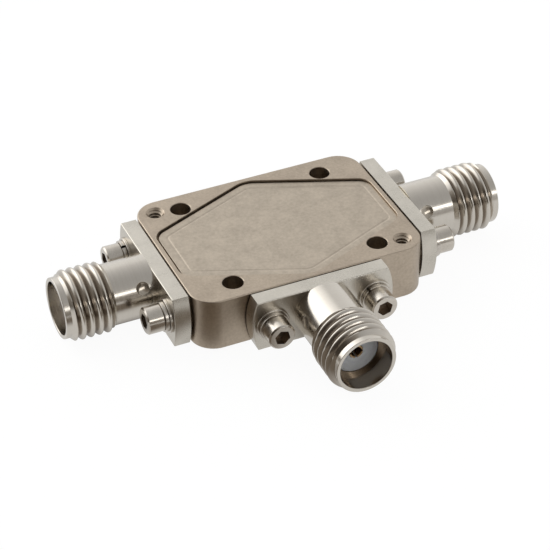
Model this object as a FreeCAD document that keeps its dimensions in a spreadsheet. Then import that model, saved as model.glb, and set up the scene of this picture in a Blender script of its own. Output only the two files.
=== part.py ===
import FreeCAD, Part
import os
import re
import Sketcher

# Three-port coaxial mixer: a milled housing with a sunk six-sided lid, three threaded
# coaxial jacks on two-hole flanges, and the circuit that the housing carries.
# Millimetres. +Z is up, +X runs through the two end jacks and -Y is the side of the
# middle jack. The origin is the centre of the housing's bottom face.

SIZES = (
    ("housing_length", 21.84, "housing along X"),
    ("housing_width", 16.1, "housing along Y"),
    ("housing_height", 5.08, "housing along Z"),
    ("housing_corner_radius", 2.2, "upright corners of the housing"),
    ("housing_edge_break", 0.12, "top and bottom edges of the housing"),
    ("floor_thickness", 1.0, "metal under the cavity"),
    ("axis_height", 2.54, "bottom face to the axes of the jacks"),
    ("seat_end_wall", 0.45, "end of the housing to the lid seat"),
    ("seat_point_wall", 0.32, "side of the housing to a point of the lid seat"),
    ("seat_hole_web", 0.11, "mounting hole to the slanted edge of the lid seat"),
    ("seat_corner_radius", 1.4, "four side corners of the lid seat"),
    ("seat_point_radius", 2.4, "front and rear points of the lid seat"),
    ("lid_thickness", 0.5, "lid plate"),
    ("lid_recess", 0.2, "lid face below the housing face"),
    ("lid_gap", 0.1, "edge of the lid to the wall of its seat"),
    ("groove_inset", 0.7, "edge of the lid to its scored line"),
    ("groove_width", 0.16, "scored line"),
    ("groove_depth", 0.04, "scored line"),
    ("ledge_width", 1.3, "wall of the lid seat to the wall of the cavity"),
    ("cavity_corner_radius", 1.0, "corners of the cavity"),
    ("mount_hole_diameter", 1.86, "plain mounting holes"),
    ("mount_end_distance", 4.05, "end of the housing to a mounting hole"),
    ("mount_side_distance", 2.07, "side of the housing to a mounting hole"),
    ("tapped_diameter", 1.524, "tapped corner holes, thread major"),
    ("tapped_depth", 1.4, "tapped corner holes"),
    ("tapped_chamfer", 0.09, "lead into the tapped corner holes"),
    ("tapped_end_distance", 1.763, "end of the housing to a tapped corner hole"),
    ("tapped_side_distance", 1.707, "side of the housing to a tapped corner hole"),
    ("flange_thickness", 1.62, "jack flange"),
    ("flange_height", 5.0, "flange across its two flats"),
    ("flange_rim", 1.81, "axis of a screw to the round end of the flange"),
    ("flange_edge_break", 0.08, "edges of the outer face of the flange"),
    ("flange_hole_play", 0.138, "screw in its flange hole, on the radius"),
    ("jack_reach", 10.0, "housing face to the mouth of a jack"),
    ("thread_diameter", 6.35, "coupling thread, major"),
    ("thread_lead", 0.42, "chamfers at both ends of the thread"),
    ("neck_length", 3.8, "plain neck between flange and thread"),
    ("neck_step", 0.425, "thread major to the neck, on the radius"),
    ("nose_length", 0.55, "plain nose ahead of the thread"),
    ("nose_step", 0.425, "thread major to the nose, on the radius"),
    ("mouth_wall", 0.45, "nose to the mating bore"),
    ("mouth_break", 0.12, "outer edge of the mouth"),
    ("mouth_lead", 0.2, "chamfer into the mating bore"),
    ("mouth_bore_depth", 1.95, "mouth to the face of the insulator"),
    ("insulator_ledge", 0.25, "mating bore to the insulator bore, on the radius"),
    ("contact_diameter", 1.27, "socket contact"),
    ("contact_wall", 0.165, "wall of the contact at its front bore"),
    ("contact_bore_depth", 2.6, "front bore of the contact"),
    ("contact_slot_width", 0.2, "slots between the contact fingers"),
    ("contact_slot_length", 2.3, "slots between the contact fingers"),
    ("contact_setback", 0.1, "housing face to the rear of the contact"),
    ("pin_diameter", 0.3, "feedthrough pin"),
    ("pin_grip", 1.3, "pin inside the rear of the contact"),
    ("pin_overlap", 0.8, "pin above its circuit line"),
    ("bead_diameter", 1.93, "glass bead"),
    ("bead_length", 1.5, "glass bead"),
    ("plug_diameter", 1.15, "resin plug that locks insulator and contact"),
    ("plug_station", 1.2, "flange to the resin plug of an end jack"),
    ("middle_plug_station", 2.0, "flange to the resin plug of the middle jack"),
    ("plug_sink", 0.12, "resin below the surface of the neck"),
    ("slip_clearance", 0.01, "round pieces that slide into a bore, on the radius"),
    ("screw_diameter", 1.524, "screw shank, thread major"),
    ("screw_length", 4.76, "screw shank"),
    ("screw_hole_spare", 0.3, "tapped hole past the end of the screw"),
    ("head_diameter", 2.44, "screw head"),
    ("head_height", 1.5, "screw head"),
    ("head_chamfer", 0.1, "top edge of the screw head"),
    ("socket_across_flats", 1.27, "six-sided socket of the screw"),
    ("socket_depth", 0.85, "socket of the screw"),
    ("washer_diameter", 3.1, "flat washer"),
    ("washer_thickness", 0.26, "flat washer"),
    ("washer_play", 0.063, "screw in both washers, on the radius"),
    ("washer_neck_gap", 0.53, "flat washer to the neck of the jack"),
    ("spring_diameter", 2.76, "split spring washer"),
    ("spring_thickness", 0.38, "split spring washer, pressed flat"),
    ("spring_split", 0.28, "cut through the spring washer"),
    ("carrier_gap", 0.15, "circuit carrier to the wall of the cavity"),
    ("substrate_thickness", 0.254, "ceramic circuit boards"),
    ("substrate_width", 2.3, "boards of the end jacks"),
    ("middle_substrate_width", 1.6, "board of the middle jack"),
    ("substrate_inset", 0.1, "edge of the carrier to the end of a board"),
    ("strip_width", 0.25, "circuit line on a board"),
    ("strip_thickness", 0.03, "circuit line on a board"),
    ("chip_length", 1.8, "mixer chip along X"),
    ("chip_width", 1.4, "mixer chip along Y"),
    ("chip_gap", 0.2, "chip to the boards round it"),
    ("ribbon_width", 0.2, "bond ribbon"),
    ("ribbon_thickness", 0.025, "bond ribbon"),
    ("ribbon_overlap", 0.25, "bond ribbon on the chip and on the line"),
)

doc = FreeCAD.newDocument("rf_mixer")
sheet = doc.addObject("Spreadsheet::Sheet", "dims")
for row, (alias, value, meaning) in enumerate(SIZES, start=1):
    sheet.set("A%d" % row, meaning)
    sheet.set("B%d" % row, str(value))
    sheet.setAlias("B%d" % row, alias)
doc.recompute()

nodes = []

# Places and diameters that several pieces share, as formulas of the sizes
END_FACE = "(housing_length / 2)"
SIDE_FACE = "(housing_width / 2)"
MOUNT_X = "(%s - mount_end_distance)" % END_FACE
MOUNT_Y = "(%s - mount_side_distance)" % SIDE_FACE
TAPPED_X = "(%s - tapped_end_distance)" % END_FACE
TAPPED_Y = "(%s - tapped_side_distance)" % SIDE_FACE
LID_TOP = "(housing_height - lid_recess)"
LEDGE_TOP = "(housing_height - lid_recess - lid_thickness)"
CARRIER_THICKNESS = ("(axis_height - pin_diameter / 2 - strip_thickness"
                     " - substrate_thickness - floor_thickness)")
CARRIER_TOP = "(floor_thickness + %s)" % CARRIER_THICKNESS
LINE_TOP = "(axis_height - pin_diameter / 2)"
NECK_DIAMETER = "(thread_diameter - 2 * neck_step)"
NOSE_DIAMETER = "(thread_diameter - 2 * nose_step)"
MOUTH_BORE_DIAMETER = "(%s - 2 * mouth_wall)" % NOSE_DIAMETER
INSULATOR_BORE_DIAMETER = "(%s - 2 * insulator_ledge)" % MOUTH_BORE_DIAMETER
INSULATOR_LENGTH = "(jack_reach - mouth_bore_depth)"
CONTACT_BORE_DIAMETER = "(contact_diameter - 2 * contact_wall)"
CONTACT_HOLE_DIAMETER = "(contact_diameter + 2 * slip_clearance)"
SCREW_OFFSET = "(%s / 2 + washer_neck_gap + washer_diameter / 2)" % NECK_DIAMETER
FLANGE_RADIUS = "(%s + flange_rim)" % SCREW_OFFSET
FLAT_WASHER_TOP = "(flange_thickness + washer_thickness)"
SPRING_TOP = "(%s + spring_thickness)" % FLAT_WASHER_TOP
WASHER_BORE_DIAMETER = "(screw_diameter + 2 * washer_play)"

# The slanted edges of the lid seat start from its points and pass each mounting hole at a
# set web, which gives their slope
SEAT_LENGTH = "(%s - seat_end_wall)" % END_FACE
SEAT_POINT = "(%s - seat_point_wall)" % SIDE_FACE
HOLE_DROP = "(%s - %s)" % (SEAT_POINT, MOUNT_Y)
HOLE_REACH = "(mount_hole_diameter / 2 + seat_hole_web)"
SEAT_SLOPE = "((%s * %s + %s * sqrt(%s ^ 2 + %s ^ 2 - %s ^ 2)) / (%s ^ 2 - %s ^ 2))" % (
    HOLE_DROP, MOUNT_X, HOLE_REACH, MOUNT_X, HOLE_DROP, HOLE_REACH, MOUNT_X, HOLE_REACH)


def formula(text):
    """Size names, which all hold a low line, become cells of the sheet."""
    return re.sub(r"[a-z]+(?:_[a-z]+)+", lambda found: "dims." + found.group(0), text)


def bind(item, **sizes):
    for name, text in sizes.items():
        item.setExpression(name, formula(text))
    return item


def place(item, x="0", y="0", z="0", rotation=None):
    """Moves an item to a point given by formulas, turned by a fixed rotation."""
    if rotation is not None:
        item.Placement = FreeCAD.Placement(FreeCAD.Vector(), rotation)
    item.setExpression("Placement.Base.x", formula(x))
    item.setExpression("Placement.Base.y", formula(y))
    item.setExpression("Placement.Base.z", formula(z))
    return item


def cylinder(name, diameter, height, x="0", y="0", z="0"):
    item = doc.addObject("Part::Cylinder", name)
    bind(item, Radius="%s / 2" % diameter, Height=height)
    return place(item, x, y, z)


def cone(name, diameter_low, diameter_high, height, x="0", y="0", z="0"):
    item = doc.addObject("Part::Cone", name)
    bind(item, Radius1="%s / 2" % diameter_low, Radius2="%s / 2" % diameter_high,
         Height=height)
    return place(item, x, y, z)


def block(name, length, width, height, x="0", y="0", z="0"):
    """A box centred on x and y that stands on z."""
    item = doc.addObject("Part::Box", name)
    bind(item, Length=length, Width=width, Height=height)
    return place(item, "%s - %s / 2" % (x, length), "%s - %s / 2" % (y, width), z)


def fuse(name, shapes):
    item = doc.addObject("Part::MultiFuse", name)
    item.Shapes = shapes
    return item


def cut(name, base, tools):
    item = doc.addObject("Part::Cut", name)
    item.Base = base
    item.Tool = tools[0] if len(tools) == 1 else fuse(name + "_tools", tools)
    return item


def common(name, first, second):
    item = doc.addObject("Part::Common", name)
    item.Base = first
    item.Tool = second
    return item


def node(item, name):
    item.Label = name
    nodes.append(item)
    return item


def outline(body, name, role, corners, lift):
    """A closed sketch of straight lines, each corner held by two formulas."""
    plane = [part for part in body.Origin.OriginFeatures if part.Role == role][0]
    sketch = body.newObject("Sketcher::SketchObject", name)
    sketch.AttachmentSupport = [(plane, "")]
    sketch.MapMode = "FlatFace"
    sketch.setExpression("AttachmentOffset.Base.z", formula(lift))
    count = len(corners)
    step_turn = FreeCAD.Rotation(FreeCAD.Vector(0, 0, 1), 360.0 / count)
    guess = [FreeCAD.Vector(1, 0, 0)]
    for corner in range(count - 1):
        guess.append(step_turn.multVec(guess[-1]))
    for corner in range(count):
        following = (corner + 1) % count
        sketch.addGeometry(Part.LineSegment(guess[corner], guess[following]), False)
    for corner in range(count):
        following = (corner + 1) % count
        sketch.addConstraint(Sketcher.Constraint("Coincident", corner, 2, following, 1))
    for corner, (across, along) in enumerate(corners):
        for kind, start, text in (("DistanceX", guess[corner].x, across),
                                  ("DistanceY", guess[corner].y, along)):
            held = sketch.addConstraint(Sketcher.Constraint(kind, -1, 1, corner, 1, start))
            sketch.setExpression("Constraints[%d]" % held, formula(text))
    return sketch


def turned(name, profile):
    """A body turned about Z from corners given as radius and height."""
    body = doc.addObject("PartDesign::Body", name)
    sketch = outline(body, name + "_profile", "XZ_Plane", profile, "0")
    turn = body.newObject("PartDesign::Revolution", name + "_turn")
    turn.Profile = sketch
    turn.ReferenceAxis = (sketch, ["V_Axis"])
    turn.Angle = 360
    return body


def extruded(name, role, corners, lift, length):
    """A body pushed out from a sketched outline, along the plane's normal."""
    body = doc.addObject("PartDesign::Body", name)
    sketch = outline(body, name + "_outline", role, corners, lift)
    pad = body.newObject("PartDesign::Pad", name + "_pad")
    pad.Profile = sketch
    bind(pad, Length=length)
    return body


def find_edges(body, wanted):
    """The body's last feature and the names of its edges that pass the test."""
    doc.recompute()
    edges = enumerate(body.Tip.Shape.Edges, start=1)
    return (body.Tip, ["Edge%d" % number for number, edge in edges if wanted(edge)])


def round_edges(body, name, wanted, radius):
    picked = find_edges(body, wanted)
    fillet = body.newObject("PartDesign::Fillet", name)
    fillet.Base = picked
    bind(fillet, Radius=radius)


def break_edges(body, name, wanted, size):
    picked = find_edges(body, wanted)
    chamfer = body.newObject("PartDesign::Chamfer", name)
    chamfer.Base = picked
    bind(chamfer, Size=size)


def is_upright(edge):
    box = edge.BoundBox
    return box.XLength < 1e-6 and box.YLength < 1e-6


def is_level(edge):
    return edge.BoundBox.ZLength < 1e-6


def is_upright_at_point(edge):
    return is_upright(edge) and abs(edge.BoundBox.Center.x) < 1e-6


def is_upright_at_side(edge):
    return is_upright(edge) and abs(edge.BoundBox.Center.x) > 1e-6


def seat_side(offset):
    return "(%s - %s)" % (SEAT_LENGTH, offset)


def seat_point(offset):
    return "(%s - %s * sqrt(1 + %s ^ 2))" % (SEAT_POINT, offset, SEAT_SLOPE)


def six_sided(name, offset, low, height, corner_radius, point_radius):
    """An upright prism on the outline of the lid seat, drawn in by an offset."""
    side = seat_side(offset)
    point = seat_point(offset)
    shoulder = "(%s - %s * %s)" % (point, side, SEAT_SLOPE)
    corners = ((side, shoulder), ("0", point), ("-" + side, shoulder),
               ("-" + side, "-" + shoulder), ("0", "-" + point), (side, "-" + shoulder))
    body = extruded(name, "XY_Plane", corners, low, height)
    round_edges(body, name + "_corners", is_upright_at_side, corner_radius)
    round_edges(body, name + "_points", is_upright_at_point, point_radius)
    return body


def seat_shape(name, offset, low, height):
    """The lid seat drawn in by an offset, with its corners drawn in too."""
    return six_sided(name, offset, low, height, "seat_corner_radius - %s" % offset,
                     "seat_point_radius - %s" % offset)


CARRIER_OFFSET = "(ledge_width + carrier_gap)"
BOARD_OFFSET = "(ledge_width + carrier_gap + substrate_inset)"

# Each jack: name, outward direction, distance from the centre to its housing face, cavity
# edge behind that face, outer end, inner end and width of its circuit board, station and
# direction of its resin plug, and its screws as name, side, turn of the socket and turn
# of the split in the spring washer. Turns are in degrees round the jack's own axis.
END_BOARD = (seat_side(BOARD_OFFSET), "(chip_length / 2 + chip_gap)", "substrate_width")
MIDDLE_BOARD = ("(%s - middle_substrate_width / 2 * %s)" % (seat_point(BOARD_OFFSET), SEAT_SLOPE),
                "(chip_width / 2 + chip_gap)", "middle_substrate_width")
CAVITY_END = seat_side("ledge_width")
CAVITY_POINT = "(%s - cavity_corner_radius)" % seat_point("ledge_width")
JACKS = (
    {"name": "left", "outward": FreeCAD.Vector(-1, 0, 0), "face": END_FACE,
     "cavity": CAVITY_END, "board": END_BOARD, "plug": ("plug_station", 33),
     "screws": (("front_screw", 1, 10, 250), ("rear_screw", -1, 25, 70))},
    {"name": "right", "outward": FreeCAD.Vector(1, 0, 0), "face": END_FACE,
     "cavity": CAVITY_END, "board": END_BOARD, "plug": ("plug_station", 148),
     "screws": (("rear_screw", 1, 5, 200), ("front_screw", -1, 20, 310))},
    {"name": "middle", "outward": FreeCAD.Vector(0, -1, 0), "face": SIDE_FACE,
     "cavity": CAVITY_POINT, "board": MIDDLE_BOARD, "plug": ("middle_plug_station", 163),
     "screws": (("right_screw", 1, 15, 125), ("left_screw", -1, 44, 330))},
)


def fit_to_jack(item, jack):
    """Moves a piece drawn with its jack along +Z onto the face that carries the jack."""
    outward = jack["outward"]
    up = FreeCAD.Vector(0, 0, 1)
    turn = FreeCAD.Rotation(up.cross(outward), up, outward, "ZYX")
    return place(item, "%d * %s" % (outward.x, jack["face"]),
                 "%d * %s" % (outward.y, jack["face"]), "axis_height", turn)


def make_jack_cuts(jack):
    """Bead bore through the wall and two tapped screw holes, inwards from the face."""
    name = jack["name"]
    wall = "(%s - %s)" % (jack["face"], jack["cavity"])
    cuts = [cylinder(name + "_bead_bore", "(bead_diameter + 2 * slip_clearance)", wall,
                     z="-" + wall)]
    depth = "(screw_length - %s + screw_hole_spare)" % SPRING_TOP
    for screw, side, socket_turn, split_turn in jack["screws"]:
        cuts.append(cylinder("%s_%s_hole" % (name, screw),
                             "(screw_diameter + 2 * slip_clearance)", depth,
                             x="%d * %s" % (side, SCREW_OFFSET), z="-" + depth))
    return fit_to_jack(fuse(name + "_jack_cuts", cuts), jack)


def make_tapped_hole(name, x, y):
    """A flat-bottomed hole at the thread's major diameter, with a lead."""
    return [cylinder(name, "tapped_diameter", "tapped_depth", x, y,
                     "housing_height - tapped_depth"),
            cone(name + "_lead", "tapped_diameter", "(tapped_diameter + 2 * tapped_chamfer)",
                 "tapped_chamfer", x, y, "housing_height - tapped_chamfer")]


def make_housing():
    corners = [("%d * %s" % (across, END_FACE), "%d * %s" % (along, SIDE_FACE))
               for across, along in ((1, 1), (-1, 1), (-1, -1), (1, -1))]
    body = extruded("housing_block", "XY_Plane", corners, "0", "housing_height")
    round_edges(body, "housing_corners", is_upright, "housing_corner_radius")
    break_edges(body, "housing_edges", is_level, "housing_edge_break")
    cuts = [seat_shape("lid_seat", "0", LEDGE_TOP, "housing_height"),
            six_sided("cavity", "ledge_width", "floor_thickness", "housing_height",
                      "cavity_corner_radius", "cavity_corner_radius")]
    for across, along in ((1, 1), (-1, 1), (-1, -1), (1, -1)):
        cuts.append(cylinder("mount_hole_%d" % len(cuts), "mount_hole_diameter",
                             "housing_height", "%d * %s" % (across, MOUNT_X),
                             "%d * %s" % (along, MOUNT_Y)))
    for side in (-1, 1):
        cuts += make_tapped_hole("tapped_hole_%d" % len(cuts), "%d * %s" % (side, TAPPED_X),
                                 "%d * %s" % (-side, TAPPED_Y))
    cuts += [make_jack_cuts(jack) for jack in JACKS]
    node(cut("housing_cut", body, cuts), "housing")


def make_lid():
    """A plate with a shallow line scored all round near its edge."""
    plate = seat_shape("lid_plate", "lid_gap", LEDGE_TOP, "lid_thickness")
    low = "%s - groove_depth" % LID_TOP
    outer = seat_shape("groove_outer", "(lid_gap + groove_inset)", low, "lid_thickness")
    inner = seat_shape("groove_inner", "(lid_gap + groove_inset + groove_width)", low,
                       "lid_thickness")
    node(cut("lid_cut", plate, [cut("groove_ring", outer, [inner])]), "lid")


def make_circuit():
    """Carrier plate on the cavity floor and the chip in the middle of it."""
    radius = "cavity_corner_radius - carrier_gap"
    node(six_sided("carrier_plate", CARRIER_OFFSET, "floor_thickness", CARRIER_THICKNESS,
                   radius, radius), "circuit_carrier")
    node(block("chip_block", "chip_length", "chip_width",
               "substrate_thickness + strip_thickness", z=CARRIER_TOP), "mixer_chip")


def make_flange(name):
    """A turned disc with two flats, the edges of its outer face broken."""
    edge = "flange_thickness - flange_edge_break"
    disc = turned(name + "_disc", (
        ("0", "0"), (FLANGE_RADIUS, "0"), (FLANGE_RADIUS, edge),
        (FLANGE_RADIUS + " - flange_edge_break", "flange_thickness"),
        ("0", "flange_thickness")))
    bar = extruded(name + "_bar", "YZ_Plane", (
        ("flange_height / 2", "0"), ("flange_height / 2", edge),
        ("flange_height / 2 - flange_edge_break", "flange_thickness"),
        ("-(flange_height / 2 - flange_edge_break)", "flange_thickness"),
        ("-flange_height / 2", edge), ("-flange_height / 2", "0")),
        "-2 * " + FLANGE_RADIUS, "4 * " + FLANGE_RADIUS)
    return common(name + "_flange", disc, bar)


def make_barrel(name):
    """Neck, thread at its major diameter and nose, which start at the flange's outer face."""
    neck, thread = NECK_DIAMETER + " / 2", "thread_diameter / 2"
    nose = NOSE_DIAMETER + " / 2"
    thread_start, thread_end = "(flange_thickness + neck_length)", "(jack_reach - nose_length)"
    return turned(name + "_barrel", (
        ("0", "flange_thickness"), (neck, "flange_thickness"), (neck, thread_start),
        (thread, thread_start + " + thread_lead"), (thread, thread_end + " - thread_lead"),
        (nose, thread_end), (nose, "jack_reach - mouth_break"),
        (nose + " - mouth_break", "jack_reach"), ("0", "jack_reach")))


def make_barrel_bore(name):
    """Insulator bore, mating bore and the chamfer that leads into it."""
    hold, mate = INSULATOR_BORE_DIAMETER + " / 2", MOUTH_BORE_DIAMETER + " / 2"
    return turned(name + "_bore", (
        ("0", "0"), (hold, "0"), (hold, INSULATOR_LENGTH), (mate, INSULATOR_LENGTH),
        (mate, "jack_reach - mouth_lead"), (mate + " + mouth_lead", "jack_reach"),
        ("0", "jack_reach")))


def make_plug_rod(name, jack, diameter):
    """A cylinder from the jack's axis out through the neck, where the plug goes."""
    station, turn = jack["plug"]
    aim = FreeCAD.Rotation(FreeCAD.Vector(0, 0, 1), turn)
    level = FreeCAD.Rotation(FreeCAD.Vector(0, 1, 0), 90)
    return place(cylinder(name, diameter, NECK_DIAMETER),
                 z="flange_thickness + " + station, rotation=aim.multiply(level))


def make_shell(jack):
    """Flange, neck, thread and nose of a jack in one turned piece."""
    name = jack["name"]
    cuts = [make_barrel_bore(name), make_plug_rod(name + "_plug_hole", jack, "plug_diameter")]
    for screw, side, socket_turn, split_turn in jack["screws"]:
        cuts.append(cylinder("%s_%s_flange_hole" % (name, screw),
                             "(screw_diameter + 2 * flange_hole_play)", "flange_thickness",
                             x="%d * %s" % (side, SCREW_OFFSET)))
    blank = fuse(name + "_shell_blank", [make_flange(name), make_barrel(name)])
    node(fit_to_jack(cut(name + "_shell_cut", blank, cuts), jack), name + "_connector_shell")


def make_insulator(jack):
    name = jack["name"]
    sleeve = cylinder(name + "_sleeve", "(%s - 2 * slip_clearance)" % INSULATOR_BORE_DIAMETER,
                      INSULATOR_LENGTH)
    bore = cylinder(name + "_sleeve_bore", CONTACT_HOLE_DIAMETER, INSULATOR_LENGTH)
    side_hole = make_plug_rod(name + "_sleeve_side_hole", jack, "plug_diameter")
    item = cut(name + "_sleeve_cut", sleeve, [bore, side_hole])
    node(fit_to_jack(item, jack), name + "_insulator")


def make_resin_plug(jack):
    """Resin from the contact to just under the surface of the neck."""
    name = jack["name"]
    rod = make_plug_rod(name + "_plug_rod", jack, "plug_diameter")
    skin = cylinder(name + "_plug_skin", "(%s - 2 * plug_sink)" % NECK_DIAMETER,
                    INSULATOR_LENGTH)
    core = cylinder(name + "_plug_core", CONTACT_HOLE_DIAMETER, INSULATOR_LENGTH)
    item = cut(name + "_plug_cut", common(name + "_plug_trim", rod, skin), [core])
    node(fit_to_jack(item, jack), name + "_resin_plug")


def make_contact(jack):
    """Gold contact: four spring fingers ahead, a socket for the pin behind."""
    name = jack["name"]
    pin_hole = "pin_diameter / 2 + slip_clearance"
    front_bore = CONTACT_BORE_DIAMETER + " / 2"
    front_bottom = "%s - contact_bore_depth" % INSULATOR_LENGTH
    body = turned(name + "_contact_body", (
        (pin_hole, "contact_setback"), ("contact_diameter / 2", "contact_setback"),
        ("contact_diameter / 2", INSULATOR_LENGTH), (front_bore, INSULATOR_LENGTH),
        (front_bore, front_bottom), ("0", front_bottom),
        ("0", "contact_setback + pin_grip"), (pin_hole, "contact_setback + pin_grip")))
    across, thin = "(2 * contact_diameter)", "contact_slot_width"
    slot_start = "%s - contact_slot_length" % INSULATOR_LENGTH
    slots = [block(name + "_level_slot", across, thin, "contact_slot_length", z=slot_start),
             block(name + "_upright_slot", thin, across, "contact_slot_length", z=slot_start)]
    item = cut(name + "_contact_cut", body, slots)
    node(fit_to_jack(item, jack), name + "_center_contact")


def make_feedthrough(jack):
    """Glass bead in the housing wall and the pin that it holds."""
    name = jack["name"]
    blank = cylinder(name + "_bead_blank", "bead_diameter", "bead_length", z="-bead_length")
    hole = cylinder(name + "_bead_hole", "pin_diameter", "bead_length", z="-bead_length")
    bead = cut(name + "_bead_cut", blank, [hole])
    node(fit_to_jack(bead, jack), name + "_glass_bead")
    board_outer, board_inner, board_width = jack["board"]
    inner_end = "-(%s - %s + pin_overlap)" % (jack["face"], board_outer)
    outer_end = "(contact_setback + pin_grip)"
    pin = turned(name + "_pin_rod", (
        ("0", inner_end), ("pin_diameter / 2", inner_end), ("pin_diameter / 2", outer_end),
        ("0", outer_end)))
    node(fit_to_jack(pin, jack), name + "_feedthrough_pin")


def make_board(jack):
    """Ceramic board, the line on it and the ribbon from the line to the chip."""
    outward = jack["outward"]
    board_outer, board_inner, board_width = jack["board"]
    run = "(%s - %s)" % (board_outer, board_inner)
    middle = "(%s + %s) / 2" % (board_outer, board_inner)
    for label, length, width, thickness, centre, low in (
            ("substrate", run, board_width, "substrate_thickness", middle, CARRIER_TOP),
            ("circuit_line", run, "strip_width", "strip_thickness", middle,
             LINE_TOP + " - strip_thickness"),
            ("bond_ribbon", "(chip_gap + 2 * ribbon_overlap)", "ribbon_width",
             "ribbon_thickness", "(%s - chip_gap / 2)" % board_inner, LINE_TOP)):
        along_x, along_y = (length, width) if outward.x else (width, length)
        item = block("%s_%s_block" % (jack["name"], label), along_x, along_y, thickness,
                     "%d * %s" % (outward.x, centre), "%d * %s" % (outward.y, centre), low)
        node(item, "%s_%s" % (jack["name"], label))


def make_screw(name, jack, spot, socket_turn):
    """Socket screw, its head seated on the washers."""
    tip = "-screw_length"
    blank = place(turned(name + "_blank", (
        ("0", tip), ("screw_diameter / 2", tip), ("screw_diameter / 2", "0"),
        ("head_diameter / 2", "0"), ("head_diameter / 2", "head_height - head_chamfer"),
        ("head_diameter / 2 - head_chamfer", "head_height"), ("0", "head_height"))),
        x=spot, z=SPRING_TOP)
    socket = doc.addObject("Part::Prism", name + "_socket")
    socket.Polygon = 6
    bind(socket, Circumradius="socket_across_flats / sqrt(3)", Height="socket_depth")
    place(socket, x=spot, z="%s + head_height - socket_depth" % SPRING_TOP,
          rotation=FreeCAD.Rotation(FreeCAD.Vector(0, 0, 1), socket_turn))
    node(fit_to_jack(cut(name + "_cut", blank, [socket]), jack), name)


def make_washers(name, jack, spot, split_turn):
    """Flat washer on the flange and the split spring washer on top of it."""
    flat = cut(name + "_flat_cut",
               cylinder(name + "_flat_blank", "washer_diameter", "washer_thickness", x=spot,
                        z="flange_thickness"),
               [cylinder(name + "_flat_bore", WASHER_BORE_DIAMETER, SPRING_TOP, x=spot)])
    node(fit_to_jack(flat, jack), name + "_flat_washer")
    split = doc.addObject("Part::Box", name + "_split")
    bind(split, Length="spring_diameter", Width="spring_split", Height="spring_thickness")
    turn = FreeCAD.Rotation(FreeCAD.Vector(0, 0, 1), split_turn)
    sideways = turn.multVec(FreeCAD.Vector(0, -1, 0))
    place(split, "%s + %.9f * spring_split / 2" % (spot, sideways.x),
          "%.9f * spring_split / 2" % sideways.y, FLAT_WASHER_TOP, turn)
    spring = cut(name + "_spring_cut",
                 cylinder(name + "_spring_blank", "spring_diameter", "spring_thickness",
                          x=spot, z=FLAT_WASHER_TOP),
                 [cylinder(name + "_spring_bore", WASHER_BORE_DIAMETER, SPRING_TOP, x=spot),
                  split])
    node(fit_to_jack(spring, jack), name + "_spring_washer")


make_housing()
make_lid()
make_circuit()
for jack in JACKS:
    make_shell(jack)
    make_insulator(jack)
    make_resin_plug(jack)
    make_contact(jack)
    make_feedthrough(jack)
    make_board(jack)
    for screw, side, socket_turn, split_turn in jack["screws"]:
        screw_name = "%s_%s" % (jack["name"], screw)
        screw_spot = "%d * %s" % (side, SCREW_OFFSET)
        make_screw(screw_name, jack, screw_spot, socket_turn)
        make_washers(screw_name, jack, screw_spot, split_turn)

doc.recompute()
for item in doc.Objects:
    if "Invalid" in item.State or "Error" in item.State:
        raise RuntimeError("%s did not build: %s" % (item.Label, item.State))
for item in nodes:
    if item.Shape.isNull() or not item.Shape.isValid() or not item.Shape.Solids:
        raise RuntimeError("%s has no sound solid" % item.Label)

os.makedirs("parts", exist_ok=True)
for item in nodes:
    item.Shape.exportStep("parts/%s.step" % item.Label)
print("%d nodes written" % len(nodes))
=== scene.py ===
import math
from collections import namedtuple
from functools import partial
import bmesh
import bpy
from mathutils import Matrix, Vector


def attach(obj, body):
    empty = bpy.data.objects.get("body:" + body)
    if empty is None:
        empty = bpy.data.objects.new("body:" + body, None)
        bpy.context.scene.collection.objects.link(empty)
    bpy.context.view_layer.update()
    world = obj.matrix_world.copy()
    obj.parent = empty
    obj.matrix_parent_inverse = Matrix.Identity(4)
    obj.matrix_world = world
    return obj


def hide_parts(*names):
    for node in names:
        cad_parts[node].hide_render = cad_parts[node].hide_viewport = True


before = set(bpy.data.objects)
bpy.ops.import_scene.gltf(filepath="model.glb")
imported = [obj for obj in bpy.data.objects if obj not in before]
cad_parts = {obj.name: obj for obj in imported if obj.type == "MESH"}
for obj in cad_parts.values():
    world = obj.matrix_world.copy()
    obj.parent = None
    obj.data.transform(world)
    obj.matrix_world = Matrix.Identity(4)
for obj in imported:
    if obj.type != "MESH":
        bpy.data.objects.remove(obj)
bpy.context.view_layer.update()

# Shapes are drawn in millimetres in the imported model's frame and brought to metres at the end
TO_METRES = 0.001
UP = Vector((0, 0, 1))

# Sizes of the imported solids, in millimetres
HALF_LENGTH, HALF_WIDTH, HOUSING_TOP = 10.92, 8.05, 5.08
HOUSING_CORNER, HOUSING_EDGE = 2.2, 0.12
AXIS_HEIGHT = 2.54
SEAT_LENGTH, SEAT_POINT, SEAT_SLOPE = 10.47, 7.73, 0.41886
SEAT_CORNER, SEAT_TIP = 1.4, 2.4
LEDGE_TOP, LID_TOP, LID_GAP = 4.38, 4.88, 0.1
CAVITY_FLOOR, CAVITY_INSET, CAVITY_CORNER = 1.0, 1.3, 1.0
MOUNT_HOLES, MOUNT_RADIUS = (6.87, 5.98), 0.93
TAPPED_HOLES, TAPPED_RADIUS, TAPPED_DEPTH = (9.157, 6.343), 0.762, 1.4
FLANGE_RADIUS, FLANGE_HALF, FLANGE_THICKNESS = 6.64, 2.5, 1.62
NECK_RADIUS, THREAD_RADIUS, INSULATOR_RADIUS = 2.75, 3.175, 2.05
THREAD_START, THREAD_END, JACK_REACH, INSULATOR_END = 5.42, 9.45, 10.0, 8.05
CONTACT_RADIUS, CONTACT_BORE = 0.635, 0.47
SCREW_OFFSET, SCREW_RADIUS, SCREW_LENGTH = 4.83, 0.762, 4.76
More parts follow.
